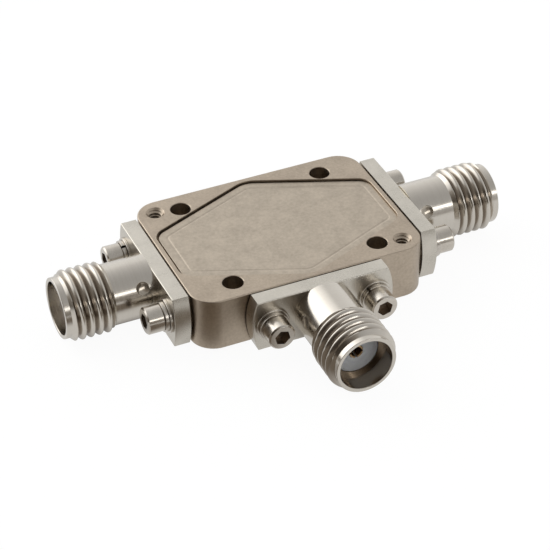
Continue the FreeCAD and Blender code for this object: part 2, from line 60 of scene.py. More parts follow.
FLANGE_HOLE_RADIUS, SCREW_HOLE_RADIUS, SCREW_HOLE_DEPTH = 0.9, 0.772, 2.8
BEAD_RADIUS = 0.975
FLAT_WASHER_TOP, SPRING_WASHER_TOP = 1.88, 2.26
WASHER_BORE, FLAT_WASHER_RADIUS, SPRING_WASHER_RADIUS = SCREW_RADIUS + 0.063, 1.55, 1.38
HEAD_RADIUS, HEAD_HEIGHT, SOCKET_FLATS, SOCKET_DEPTH = 1.22, 1.5, 1.27, 0.85
PLUG_RADIUS = 0.575

# Detail that is only drawn here, or drawn as the photograph shows it: the rims of the mouths, the
# undercut feet of the flanges, threads, broken edges, the lid's scored line and its play
MOUTH_RADIUS, RIM_EDGE = 2.4, 0.05
FOOT_INSET, FOOT_TOP, FLANGE_BOTTOM, FLANGE_EDGE = 0.6, 0.14, 0.16, 0.09
THREAD_PITCH, THREAD_DEPTH = 0.78, 0.42
TAPPED_PITCH, TAPPED_MINOR, LEAD_WIDTH, LEAD_DEPTH = 0.3175, 0.54, 0.09, 0.22
SEAT_EDGE, HOLE_EDGE = 0.04, 0.05
LID_PLAY, SCORE_INSET, SCORE_HALF, SCORE_DEPTH = (0.09, -0.045), 0.78, 0.18, 0.03

# How far a cutting shape reaches past a face or, for the bead bores, into the end and front
# walls, and the radius below which a point is on the axis
PAST, SHORT_PAST, END_BORE, FRONT_BORE, ON_AXIS = 1.0, 0.5, 2.6, 2.7, 1e-9
SHARP_ANGLE = math.radians(32)

# A jack has its outward direction, the distance of its housing face from the middle, the height
# above the flange and the turn of its resin plug, the height of a thread root, and its screws. A
# screw has its side, the turn of its socket and the turn of its washers' splits, in degrees.
Jack = namedtuple("Jack", "name outward face plug_height plug_turn root screws")
Screw = namedtuple("Screw", "name side socket_turn split_turn")
JACKS = (
    Jack("left", Vector((-1, 0, 0)), HALF_LENGTH, 1.2, 33, 5.01,
         (Screw("front_screw", 1, 10, 250), Screw("rear_screw", -1, 25, 70))),
    Jack("right", Vector((1, 0, 0)), HALF_LENGTH, 1.2, 148, 4.91,
         (Screw("rear_screw", 1, 5, 200), Screw("front_screw", -1, 20, 310))),
    Jack("middle", Vector((0, -1, 0)), HALF_WIDTH, 2.0, 163, 5.57,
         (Screw("right_screw", 1, 15, 125), Screw("left_screw", -1, 44, 330))),
)


# Camera

def aim_camera():
    """The photograph's view: turn, height and tilt in degrees, frame centre and distance in mm."""
    turn, height, tilt = math.radians(23.723), math.radians(36.995), math.radians(-0.59)
    centre, distance = Vector((-3.189, -6.562, 5.08)), 180.0
    back = Vector((-math.sin(turn) * math.cos(height), -math.cos(turn) * math.cos(height),
                   math.sin(height)))
    level = Vector((math.cos(turn), -math.sin(turn), 0))
    upright = back.cross(level)
    across = level * math.cos(tilt) + upright * math.sin(tilt)
    along = upright * math.cos(tilt) - level * math.sin(tilt)
    data = bpy.data.cameras.new("camera")
    data.lens, data.sensor_width = 137.29, 36
    data.clip_start, data.clip_end = 0.01, 20
    camera = bpy.data.objects.new("camera", data)
    axes = Matrix((across, along, back)).transposed().to_4x4()
    camera.matrix_world = Matrix.Translation((centre + back * distance) * TO_METRES) @ axes
    bpy.context.scene.collection.objects.link(camera)
    bpy.context.scene.camera = camera


# Mesh helpers, where a shape is a pair of corner points and faces

def new_object(name, mesh):
    piece = bpy.data.objects.new(name, mesh)
    bpy.context.scene.collection.objects.link(piece)
    return piece


def to_object(name, shape):
    mesh = bpy.data.meshes.new(name)
    points, faces = shape
    mesh.from_pydata(points, [], faces)
    mesh.update()
    return new_object(name, mesh)


def take_shape(piece):
    """The shape of an object that is no longer needed."""
    points = [tuple(vertex.co) for vertex in piece.data.vertices]
    faces = [tuple(face.vertices) for face in piece.data.polygons]
    bpy.data.objects.remove(piece)
    return points, faces


def join_shapes(*shapes):
    points, faces = [], []
    for more_points, more_faces in shapes:
        start = len(points)
        points += more_points
        faces += [tuple(start + corner for corner in face) for face in more_faces]
    return points, faces


def moved(shape, matrix):
    points, faces = shape
    return [tuple(matrix @ Vector(point)) for point in points], faces


def weld(piece, distance=1e-4):
    """Merges doubles and turns all faces outwards."""
    work = bmesh.new()
    work.from_mesh(piece.data)
    bmesh.ops.remove_doubles(work, verts=work.verts, dist=distance)
    bmesh.ops.dissolve_degenerate(work, edges=work.edges, dist=distance / 10)
    bmesh.ops.recalc_face_normals(work, faces=work.faces)
    work.to_mesh(piece.data)
    work.free()
    return piece


def bake(piece):
    """Replaces the mesh by what its modifiers make of it and removes them."""
    graph = bpy.context.evaluated_depsgraph_get()
    mesh = bpy.data.meshes.new_from_object(piece.evaluated_get(graph),
                                           preserve_all_data_layers=True, depsgraph=graph)
    piece.modifiers.clear()
    piece.data = mesh
    return piece


def combine(piece, tool, operation):
    """Cuts a tool out of a piece, or fuses the two, and removes the tool."""
    modifier = piece.modifiers.new("combine", "BOOLEAN")
    modifier.operation = operation
    modifier.solver = "EXACT"
    modifier.object = tool
    bake(piece)
    bpy.data.objects.remove(tool)


def cut(piece, shape):
    combine(piece, to_object("tool", shape), "DIFFERENCE")


def turned(corners, segments=96, loop=True):
    """A surface turned about Z from corners given as radius, height and rounding.

    With a loop its last corner is joined to its first, unless it starts on the axis.
    """
    rings, points = [], []
    for radius, height in soften(corners, loop):
        if radius < ON_AXIS:
            rings.append([len(points)] * segments)
            points.append((0, 0, height))
            continue
        rings.append(list(range(len(points), len(points) + segments)))
        points += [(radius * math.cos(2 * math.pi * step / segments),
                    radius * math.sin(2 * math.pi * step / segments), height)
                   for step in range(segments)]
    pairs = list(zip(rings, rings[1:]))
    if loop and corners[0][0] > ON_AXIS:
        pairs.append((rings[-1], rings[0]))
    faces = []
    for low, high in pairs:
        for step in range(segments):
            after = (step + 1) % segments
            face = tuple(dict.fromkeys((low[step], low[after], high[after], high[step])))
            if len(face) > 2:
                faces.append(face)
    return points, faces


def rod(radius, low, high, segments=48):
    return turned([(0, low, 0), (radius, low, 0), (radius, high, 0), (0, high, 0)], segments)


def soften(corners, loop=True, steps=4):
    """Corners as x, y and rounding become a line in which each rounding is a small arc."""
    line, count = [], len(corners)
    for place, (x, y, rounding) in enumerate(corners):
        here = Vector((x, y))
        at_end = place in (0, count - 1) and (not loop or corners[0][0] < ON_AXIS)
        if rounding <= 0 or at_end:
            line.append((x, y))
            continue
        before = (Vector(corners[place - 1][:2]) - here).normalized()
        after = (Vector(corners[(place + 1) % count][:2]) - here).normalized()
        opening = before.angle(after)
        reach = rounding / math.tan(opening / 2)
        middle = here + (before + after).normalized() * rounding / math.sin(opening / 2)
        first, last = here + before * reach - middle, here + after * reach - middle
        swing = first.angle_signed(last)
        for step in range(steps + 1):
            turn = Matrix.Rotation(-swing * step / steps, 2)
            line.append(tuple(middle + turn @ first))
    return line


def stack(rings):
    """A closed surface from outlines with equal counts, each given with its height."""
    points, faces = [], []
    count = len(rings[0][0])
    for outline, height in rings:
        points += [(x, y, height) for x, y in outline]
    for ring in range(len(rings) - 1):
        low, high = ring * count, (ring + 1) * count
        faces += [(low + step, low + (step + 1) % count, high + (step + 1) % count, high + step)
                  for step in range(count)]
    faces.append(tuple(reversed(range(count))))
    faces.append(tuple(range(len(points) - count, len(points))))
    return points, faces


def paint(piece, material):
    piece.data.materials.clear()
    piece.data.materials.append(material)


def finish_piece(piece, material, body_slot, *nodes):
    """Material, smooth shading with crisp edges, metres, and the piece's place in the frame."""
    paint(piece, material)
    piece.data.shade_smooth()
    piece.data.set_sharp_from_angle(angle=SHARP_ANGLE)
    modifier = piece.modifiers.new("even", "WEIGHTED_NORMAL")
    modifier.keep_sharp = True
    bake(piece)
    piece.data.transform(Matrix.Scale(TO_METRES, 4))
    piece.data.name = piece.name
    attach(piece, "root")
    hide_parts(*nodes)


# Node helpers, where a value is a number, a colour or the output of another node

def feed(tree, socket, value):
    if isinstance(value, bpy.types.NodeSocket):
        tree.links.new(value, socket)
    else:
        socket.default_value = value


def link_math(tree, operation, *values, kind="ShaderNodeMath", output=0):
    node = tree.nodes.new(kind)
    node.operation = operation
    for socket, value in zip(node.inputs, values):
        feed(tree, socket, value)
    return node.outputs[output]


def vector_math(tree, operation, *values, output=0):
    return link_math(tree, operation, *values, kind="ShaderNodeVectorMath", output=output)


def stretch(tree, value, low, high, to_low=0.0, to_high=1.0):
    """A value stretched from one range to another and held at its ends."""
    node = tree.nodes.new("ShaderNodeMapRange")
    for label, number in (("Value", value), ("From Min", low), ("From Max", high),
                          ("To Min", to_low), ("To Max", to_high)):
        feed(tree, node.inputs[label], number)
    return node.outputs["Result"]


def blend_colour(tree, share, first, second):
    node = tree.nodes.new("ShaderNodeMix")
    node.data_type = "RGBA"
    feed(tree, node.inputs["Factor"], share)
    for place, colour in ((6, first), (7, second)):
        feed(tree, node.inputs[place], (*colour, 1) if isinstance(colour, tuple) else colour)
    return node.outputs[2]


def noise(tree, vector, scale, detail, rough):
    node = tree.nodes.new("ShaderNodeTexNoise")
    for label, value in (("Vector", vector), ("Scale", scale), ("Detail", detail),
                         ("Roughness", rough)):
        feed(tree, node.inputs[label], value)
    return node.outputs["Fac"]


def add_input(tree, name, kind, value=None):
    socket = tree.interface.new_socket(name, in_out="INPUT", socket_type=kind)
    if value is not None:
        socket.default_value = value


# Geometry node trees

def thread_tree():
    """A tube with a right-hand thread, clipped by a lead at both ends.

    A grid is wound into a helix: one side runs along the turns, the other across one pitch.
    Heights past the ends are held there, so the surplus turns shrink to nothing and merge.
    """
    tree = bpy.data.node_groups.new("thread tube", "GeometryNodeTree")
    for name, value in (("Root", THREAD_START), ("Pitch", THREAD_PITCH), ("Start", THREAD_START),
                        ("End", THREAD_END), ("End Radius", NECK_RADIUS),
                        ("Crest Radius", THREAD_RADIUS), ("Depth", THREAD_DEPTH),
                        ("Flat Share", 0.125), ("Roundness", 1.0), ("Lead Slope", 1.0)):
        add_input(tree, name, "NodeSocketFloat", value)
    for name, value in (("Segments", 96), ("Steps", 16)):
        add_input(tree, name, "NodeSocketInt", value)
    add_input(tree, "Material", "NodeSocketMaterial")
    tree.interface.new_socket("Tube", in_out="OUTPUT", socket_type="NodeSocketGeometry")
    nodes, links, calc = tree.nodes, tree.links, partial(link_math, tree)
    size = nodes.new("NodeGroupInput").outputs
    span = calc("SUBTRACT", size["End"], size["Root"])
    turns = calc("CEIL", calc("ADD", calc("DIVIDE", span, size["Pitch"]), 1.0))
    grid = nodes.new("GeometryNodeMeshGrid")
    links.new(calc("MULTIPLY_ADD", turns, size["Segments"], 1.0), grid.inputs["Vertices X"])
    links.new(calc("ADD", size["Steps"], 1.0), grid.inputs["Vertices Y"])
    spot = nodes.new("ShaderNodeSeparateXYZ")
    links.new(nodes.new("GeometryNodeInputPosition").outputs[0], spot.inputs[0])
    along = calc("MULTIPLY", calc("ADD", spot.outputs["X"], 0.5), turns)
    across = calc("ADD", spot.outputs["Y"], 0.5)
    count = calc("SUBTRACT", calc("ADD", along, across), 1.0)
    height = calc("MULTIPLY_ADD", count, size["Pitch"], size["Root"])
    height = calc("MINIMUM", calc("MAXIMUM", height, size["Start"]), size["End"])
    radius = thread_radius(tree, size, height, across)
    angle = calc("MULTIPLY", along, 2 * math.pi)
    point = nodes.new("ShaderNodeCombineXYZ")
    links.new(calc("MULTIPLY", radius, calc("COSINE", angle)), point.inputs["X"])
    links.new(calc("MULTIPLY", radius, calc("SINE", angle)), point.inputs["Y"])
    links.new(height, point.inputs["Z"])
    wind = nodes.new("GeometryNodeSetPosition")
    links.new(grid.outputs["Mesh"], wind.inputs["Geometry"])
    links.new(point.outputs[0], wind.inputs["Position"])
    merge = nodes.new("GeometryNodeMergeByDistance")
    merge.inputs["Distance"].default_value = 2e-4
    links.new(wind.outputs[0], merge.inputs["Geometry"])
    close_tree(tree, merge.outputs[0], size["Material"])
    return tree


def thread_radius(tree, size, height, across):
    """The crest's radius less the fall of the flanks, and no more than the end leads allow."""
    calc = partial(link_math, tree)
    off_crest = calc("ABSOLUTE", calc("MULTIPLY_ADD", across, 2.0, -1.0))
    fall = stretch(tree, off_crest, size["Flat Share"], calc("SUBTRACT", 1.0, size["Flat Share"]))
    fall = calc("MULTIPLY", size["Depth"], calc("POWER", fall, size["Roundness"]))
    radius = calc("SUBTRACT", size["Crest Radius"], fall)
    for gap in (calc("SUBTRACT", height, size["Start"]), calc("SUBTRACT", size["End"], height)):
        lead = calc("MULTIPLY_ADD", gap, size["Lead Slope"], size["End Radius"])
        radius = calc("MINIMUM", radius, lead)
    return radius


def close_tree(tree, geometry, material):
    """Ends a tree in Realize Instances and Set Material."""
    real = tree.nodes.new("GeometryNodeRealizeInstances")
    tree.links.new(geometry, real.inputs[0])
    coat = tree.nodes.new("GeometryNodeSetMaterial")
    tree.links.new(real.outputs[0], coat.inputs["Geometry"])
    tree.links.new(material, coat.inputs["Material"])
    output = tree.nodes.new("NodeGroupOutput")
    tree.links.new(coat.outputs[0], output.inputs[0])


def seat_tree():
    """Sets a copy of one fastener on every point of a mesh, turned as its attribute says."""
    tree = bpy.data.node_groups.new("seated copies", "GeometryNodeTree")
    add_input(tree, "Seats", "NodeSocketGeometry")
    add_input(tree, "Fastener", "NodeSocketObject")
    add_input(tree, "Scale", "NodeSocketFloat", 1.0)
    add_input(tree, "Material", "NodeSocketMaterial")
    tree.interface.new_socket("Copies", in_out="OUTPUT", socket_type="NodeSocketGeometry")
    nodes, links = tree.nodes, tree.links
    size = nodes.new("NodeGroupInput").outputs
    fastener = nodes.new("GeometryNodeObjectInfo")
    links.new(size["Fastener"], fastener.inputs["Object"])
    turn = nodes.new("GeometryNodeInputNamedAttribute")
    turn.data_type = "FLOAT_VECTOR"
    turn.inputs["Name"].default_value = "turn"
    rotation = nodes.new("FunctionNodeEulerToRotation")
    links.new(turn.outputs["Attribute"], rotation.inputs[0])
    copies = nodes.new("GeometryNodeInstanceOnPoints")
    links.new(size["Seats"], copies.inputs["Points"])
    links.new(fastener.outputs["Geometry"], copies.inputs["Instance"])
    links.new(rotation.outputs[0], copies.inputs["Rotation"])
    links.new(size["Scale"], copies.inputs["Scale"])
    close_tree(tree, copies.outputs[0], size["Material"])
    return tree


def grow(name, mesh, tree, **values):
    """An object whose mesh a tree makes, with the tree's inputs given by name."""
    piece = new_object(name, mesh)
    modifier = piece.modifiers.new("grow", "NODES")
    modifier.node_group = tree
    for item in tree.interface.items_tree:
        key = item.name.replace(" ", "_").lower()
        if item.in_out == "INPUT" and key in values:
            modifier[item.identifier] = values[key]
    return bake(piece)


# Outlines

def housing_outline(inset):
    x, y, radius = HALF_LENGTH - inset, HALF_WIDTH - inset, HOUSING_CORNER - inset
    return soften([(x, y, radius), (-x, y, radius), (-x, -y, radius), (x, -y, radius)], steps=12)


def seat_outline(inset, side_rounding=SEAT_CORNER, tip_rounding=SEAT_TIP):
    """The six-sided outline of the lid seat, drawn in by an inset."""
    side = SEAT_LENGTH - inset
    tip = SEAT_POINT - inset * math.hypot(1, SEAT_SLOPE)
    shoulder = tip - side * SEAT_SLOPE
    around, ends = side_rounding - inset, tip_rounding - inset
    return soften([(side, shoulder, around), (0, tip, ends), (-side, shoulder, around),
                   (-side, -shoulder, around), (0, -tip, ends), (side, -shoulder, around)],
                  steps=12)


def flange_outline(inset, steps=20):
    """A disc between two flats."""
    radius, half = FLANGE_RADIUS - inset, FLANGE_HALF - inset
    reach = math.asin(half / radius)
    arc = [reach * (2 * step / steps - 1) for step in range(steps + 1)]
    right = [(radius * math.cos(turn), radius * math.sin(turn)) for turn in arc]
    return right + [(-x, -y) for x, y in right]


def edge_rings(outline, face, rounding, upper, steps=4):
    """Outlines of a plate's rounded upper or lower edge, from below, each with its height."""
    rings = []
    for step in range(steps + 1):
        turn = math.pi / 2 * step / steps
        near, far = rounding * (1 - math.cos(turn)), rounding * (1 - math.sin(turn))
        rings.append((outline(near), face - far) if upper else (outline(far), face + near))
    return rings


def jack_place(jack):
    """Where a shape drawn with its jack along +Z belongs on the housing."""
    across = UP.cross(jack.outward)
    place = Matrix((across, UP, jack.outward)).transposed().to_4x4()
    place.translation = jack.outward * jack.face + UP * AXIS_HEIGHT
    return place


def plug_place(jack):
    """Where a shape drawn along +Z points out of the neck at the resin plug."""
    return (Matrix.Translation((0, 0, FLANGE_THICKNESS + jack.plug_height))
            @ Matrix.Rotation(math.radians(jack.plug_turn), 4, "Z")
            @ Matrix.Rotation(math.pi / 2, 4, "Y"))


def screw_holes(jack, hole):
    return [moved(hole, Matrix.Translation((screw.side * SCREW_OFFSET, 0, 0)))
            for screw in jack.screws]


# Pieces

def make_housing(thread, material):
    """A milled block with rounded edges, less the lid seat, the cavity and its holes."""
    block = to_object("milled_housing", stack(
        edge_rings(housing_outline, 0, HOUSING_EDGE, False)
        + edge_rings(housing_outline, HOUSING_TOP, HOUSING_EDGE, True)))
    cut(block, stack([(seat_outline(0), LEDGE_TOP), (seat_outline(0), HOUSING_TOP - SEAT_EDGE),
                      (seat_outline(-SEAT_EDGE), HOUSING_TOP),
                      (seat_outline(-SEAT_EDGE), HOUSING_TOP + SHORT_PAST)]))
    round_off = CAVITY_CORNER + CAVITY_INSET
    cavity = seat_outline(CAVITY_INSET, round_off, round_off)
    cut(block, stack([(cavity, CAVITY_FLOOR), (cavity, LEDGE_TOP + 0.1)]))
    cut(block, join_shapes(*hole_tools()))
    for side in (-1, 1):
        place = Matrix.Translation((side * TAPPED_HOLES[0], -side * TAPPED_HOLES[1], 0))
        cut(block, moved(tapped_tool(thread), place))
        cut(block, moved(lead_tool(), place))
    finish_piece(block, material, "housing_nickel", "housing")


def hole_tools():
    """Mounting holes with broken edges, bead bores and the jacks' tapped screw holes."""
    wide = MOUNT_RADIUS + HOLE_EDGE
    mount = turned([(0, -PAST, 0), (wide, -PAST, 0), (wide, 0, 0), (MOUNT_RADIUS, HOLE_EDGE, 0),
                    (MOUNT_RADIUS, HOUSING_TOP - HOLE_EDGE, 0), (wide, HOUSING_TOP, 0),
                    (wide, HOUSING_TOP + PAST, 0), (0, HOUSING_TOP + PAST, 0)], 64)
    tools = [moved(mount, Matrix.Translation((x, y, 0)))
             for x in (-MOUNT_HOLES[0], MOUNT_HOLES[0]) for y in (-MOUNT_HOLES[1], MOUNT_HOLES[1])]
    for jack in JACKS:
        deep = END_BORE if jack.outward.x else FRONT_BORE
        hole = rod(SCREW_HOLE_RADIUS, -SCREW_HOLE_DEPTH, SHORT_PAST)
        for tool in [rod(BEAD_RADIUS, -deep, SHORT_PAST), *screw_holes(jack, hole)]:
            tools.append(moved(tool, jack_place(jack)))
    return tools


def tapped_tool(thread):
    """The air inside a tapped corner hole, thread turns included."""
    bottom, top, segments = HOUSING_TOP - TAPPED_DEPTH, HOUSING_TOP + 0.4, 64
    tube = grow("tap", bpy.data.meshes.new("tap"), thread, root=bottom, pitch=TAPPED_PITCH,
                start=bottom, end=top, end_radius=TAPPED_MINOR, crest_radius=TAPPED_RADIUS,
                depth=TAPPED_RADIUS - TAPPED_MINOR, flat_share=0.125, roundness=1.0,
                lead_slope=1.0, segments=segments, steps=8)
    caps = [turned([(0, height, 0), (TAPPED_MINOR, height, 0)], segments)
            for height in (bottom, top)]
    return take_shape(weld(to_object("tap", join_shapes(take_shape(tube), *caps))))


def lead_tool():
    """The cone that leads into a tapped hole."""
    wide, bottom = TAPPED_RADIUS + LEAD_WIDTH, HOUSING_TOP - LEAD_DEPTH
    return turned([(0, bottom, 0), (wide - LEAD_DEPTH, bottom, 0), (wide, HOUSING_TOP, 0),
                   (wide, HOUSING_TOP + PAST, 0), (0, HOUSING_TOP + PAST, 0)], 64)


def make_lid(material):
    """A plate with broken edges and a soft line scored near them, lying as its play allows."""
    def plate(inset):
        return [(x + LID_PLAY[0], y + LID_PLAY[1]) for x, y in seat_outline(LID_GAP + inset)]
    rings = edge_rings(plate, LEDGE_TOP, 0.03, False, 3) + edge_rings(plate, LID_TOP, 0.04, True, 3)
    steps = 8
    for step in range(steps + 1):
        across = 2 * step / steps - 1
        dip = SCORE_DEPTH * (1 + math.cos(math.pi * across)) / 2
        rings.append((plate(SCORE_INSET + SCORE_HALF * across), LID_TOP - dip))
    lid = weld(to_object("lid_plate", stack(rings)))
    finish_piece(lid, material, "lid_nickel", "lid")


def make_shell(jack, thread, material):
    """Flange, neck, coupling thread and nose of one jack.

    Neck and nose start just inside the flange, which is then fused to them.
    """
    foot = FLANGE_THICKNESS - 0.02
    core = (INSULATOR_RADIUS + FLANGE_HALF) / 2
    neck = turned([
        (INSULATOR_RADIUS, foot, 0), (core, foot, 0), (core, FLANGE_THICKNESS, 0),
        (NECK_RADIUS, FLANGE_THICKNESS, 0), (NECK_RADIUS, THREAD_START, 0)], loop=False)
    nose = turned([
        (NECK_RADIUS, THREAD_END, 0), (NECK_RADIUS, JACK_REACH, RIM_EDGE),
        (MOUTH_RADIUS + RIM_EDGE, JACK_REACH, 0.02), (MOUTH_RADIUS, JACK_REACH - RIM_EDGE, 0.02),
        (MOUTH_RADIUS, INSULATOR_END, 0), (INSULATOR_RADIUS, INSULATOR_END, 0),
        (INSULATOR_RADIUS, foot, 0)], loop=False)
    tube = grow("thread", bpy.data.meshes.new("thread"), thread, root=jack.root,
                pitch=THREAD_PITCH, start=THREAD_START, end=THREAD_END, end_radius=NECK_RADIUS,
                crest_radius=THREAD_RADIUS, depth=THREAD_DEPTH, flat_share=0.04, roundness=1.7,
                lead_slope=1.0, segments=96, steps=16)
    shell = weld(to_object(jack.name + "_jack_shell", join_shapes(neck, take_shape(tube), nose)))
    combine(shell, flange_plate(jack), "UNION")
    edge, wide = 0.05, PLUG_RADIUS + 0.04
    plug_hole = turned([
        (0, 0, 0), (PLUG_RADIUS, 0, 0), (PLUG_RADIUS, NECK_RADIUS - edge, 0),
        (wide, NECK_RADIUS + 0.02, 0), (wide, 4, 0), (0, 4, 0)], 48)
    cut(shell, moved(plug_hole, plug_place(jack)))
    shell.data.transform(jack_place(jack))
    finish_piece(shell, material, "flange_steel", jack.name + "_connector_shell")


def flange_plate(jack):
    """A plate between two flats on a drawn-in foot, with its bore and two screw holes."""
    foot = flange_outline(FOOT_INSET)
    plate = to_object("flange", stack(
        [(foot, 0), (foot, FOOT_TOP), (flange_outline(0), FLANGE_BOTTOM)]
        + edge_rings(flange_outline, FLANGE_THICKNESS, FLANGE_EDGE, True)))
    holes = screw_holes(jack, rod(FLANGE_HOLE_RADIUS, -PAST, 3))
    cut(plate, join_shapes(rod(INSULATOR_RADIUS, -PAST, 3, 96), *holes))
    return plate


def make_resin(jack, material):
    """Resin with a sunk skin in the cross hole of the neck."""
    radius, inner, outer = PLUG_RADIUS - 0.005, 0.7, NECK_RADIUS - 0.1
    shape = turned([(0, inner, 0), (radius, inner, 0), (radius, outer, 0),
                    (PLUG_RADIUS - 0.12, outer - 0.06, 0), (0.2, outer - 0.09, 0),
                    (0, outer - 0.095, 0)], 48)
    place = jack_place(jack) @ plug_place(jack)
    plug = weld(to_object(jack.name + "_resin", moved(shape, place)))
    finish_piece(plug, material, "resin", jack.name + "_resin_plug")


def make_insulator(jack, material):
    """White sleeve with a broken front edge and a shallow ring round the contact."""
    outer, inner, end = INSULATOR_RADIUS - 0.01, CONTACT_RADIUS + 0.01, INSULATOR_END
    sleeve = weld(to_object(jack.name + "_white_sleeve", turned([
        (inner, 0, 0), (outer, 0, 0), (outer, end - 0.1, 0.02), (outer - 0.1, end, 0.02),
        (0.86, end, 0.05), (inner, end - 0.08, 0.02)])))
    cut(sleeve, moved(rod(PLUG_RADIUS, 0, 4), plug_place(jack)))
    sleeve.data.transform(jack_place(jack))
    finish_piece(sleeve, material, "insulator_white", jack.name + "_insulator")


def make_contact(jack, material):
    """Gold socket contact with a bore at both ends and four fingers."""
    end, rear_bore, bore, half_slot = INSULATOR_END, 0.16, CONTACT_BORE, 0.1
    contact = weld(to_object(jack.name + "_gold_contact", turned([
        (0, 1.4, 0), (rear_bore, 1.4, 0), (rear_bore, 0.1, 0), (CONTACT_RADIUS, 0.1, 0),
        (CONTACT_RADIUS, end, 0.05), (bore + 0.04, end, 0.02), (bore, end - 0.06, 0.02),
        (bore, end - 2.6, 0), (0, end - 2.6, 0)], 64)))
    line = [(1, half_slot), (-1, half_slot), (-1, -half_slot), (1, -half_slot)]
    slot = stack([(line, end - 2.3), (line, end + PAST)])
    for turn in (0, math.pi / 2):
        cut(contact, moved(slot, Matrix.Rotation(turn, 4, "Z")))
    contact.data.transform(jack_place(jack))
    finish_piece(contact, material, "contact_gold", jack.name + "_center_contact")


def screw_shape():
    """Socket screw on its own: shank, head with broken edges and six-sided socket."""
    head, top, shank_edge, head_edge, foot_edge = HEAD_RADIUS, HEAD_HEIGHT, 0.2, 0.13, 0.04
    screw = to_object("screw", turned([
        (0, -SCREW_LENGTH, 0), (SCREW_RADIUS - shank_edge, -SCREW_LENGTH, 0),
        (SCREW_RADIUS, -SCREW_LENGTH + shank_edge, 0), (SCREW_RADIUS, 0, 0),
        (head - foot_edge, 0, 0), (head, foot_edge, 0), (head, top - head_edge, 0.03),
        (head - head_edge, top, 0.03), (0, top, 0)]))
    flats, bottom = SOCKET_FLATS / 2, top - SOCKET_DEPTH
    across = flats / math.cos(math.pi / 6)
    hexagon = [(across * math.cos(math.pi / 3 * side), across * math.sin(math.pi / 3 * side))
               for side in range(6)]
    cut(screw, stack([(hexagon, bottom), (hexagon, top + PAST)]))
    cut(screw, turned([(0, bottom - 0.25, 0), (flats - 0.03, bottom + 0.02, 0),
                       (flats - 0.03, bottom + 0.1, 0), (0, bottom + 0.1, 0)], 64))
    mark_socket_shade(screw, across, top)
    return screw


def mark_socket_shade(screw, across, top):
    """An attribute that is 1 on the faces inside the socket, where the screws' material paints
    shade.
    """
    sunk = screw.data.attributes.new("sunk", "FLOAT", "FACE")
    for face in screw.data.polygons:
        corners = [screw.data.vertices[corner].co for corner in face.vertices]
        inside = max(math.hypot(corner.x, corner.y) for corner in corners) < across + 0.01
        deep = 0 < min(corner.z for corner in corners) < top - 0.05
        sunk.data[face.index].value = float(inside and deep)


def flat_washer_shape():
    thick = 0.26
    return to_object("flat_washer", turned([
        (WASHER_BORE, 0, 0.02), (FLAT_WASHER_RADIUS, 0, 0.03), (FLAT_WASHER_RADIUS, thick, 0.06),
        (WASHER_BORE, thick, 0.04)]))


def spring_washer_shape(steps=72):
    """One open turn of square wire, with its two ends slightly out of line."""
    inner, outer, thick, lift, split = WASHER_BORE, SPRING_WASHER_RADIUS, 0.35, 0.03, 0.2
    gap = split / ((inner + outer) / 2)
    section = soften([(inner, 0, 0.04), (outer, 0, 0.05), (outer, thick, 0.05),
                      (inner, thick, 0.04)], steps=2)
    points, faces, count = [], [], len(section)
    for step in range(steps + 1):
        turn = gap / 2 + (2 * math.pi - gap) * step / steps
        points += [(radius * math.cos(turn), radius * math.sin(turn), z + lift * step / steps)
                   for radius, z in section]
    for step in range(steps):
        for corner in range(count):
            after = (corner + 1) % count
            low, high = step * count, (step + 1) * count
            faces.append((low + corner, high + corner, high + after, low + after))
    faces.append(tuple(range(count)))
    faces.append(tuple(reversed(range(steps * count, (steps + 1) * count))))
    return weld(to_object("spring_washer", (points, faces)))


def seat_fasteners(seats, name, fastener, level, material, body_slot, ending=""):
    """Copies one fastener to the six flange holes, each turned its own way.

    Screws are turned by their socket, and washers, whose nodes have an ending, by their split.
    """
    mesh = bpy.data.meshes.new("seats")
    points, turns, nodes = [], [], []
    for jack in JACKS:
        for screw in jack.screws:
            turn = math.radians(screw.split_turn if ending else screw.socket_turn)
            spot = Matrix.Translation((screw.side * SCREW_OFFSET, 0, level))
            place = jack_place(jack) @ spot @ Matrix.Rotation(turn, 4, "Z")
            points.append(tuple(place.translation))
            turns += place.to_euler("XYZ")
            nodes.append("%s_%s%s" % (jack.name, screw.name, ending))
    mesh.from_pydata(points, [], [])
    mesh.attributes.new("turn", "FLOAT_VECTOR", "POINT").data.foreach_set("vector", turns)
    copies = grow(name, mesh, seats, fastener=fastener, scale=1.0, material=material)
    bpy.data.objects.remove(fastener)
    finish_piece(weld(copies), material, body_slot, *nodes)


# Shader node groups

NUMBER, COLOUR, DIRECTION = "NodeSocketFloat", "NodeSocketColor", "NodeSocketVector"


def shader_group(name, inputs, outputs):
    group = bpy.data.node_groups.new(name, "ShaderNodeTree")
    for label, kind, value in inputs:
        add_input(group, label, kind, value)
    for label, kind in outputs:
        group.interface.new_socket(label, in_out="OUTPUT", socket_type=kind)
    given = group.nodes.new("NodeGroupInput").outputs
    return group, given, group.nodes.new("NodeGroupOutput").inputs


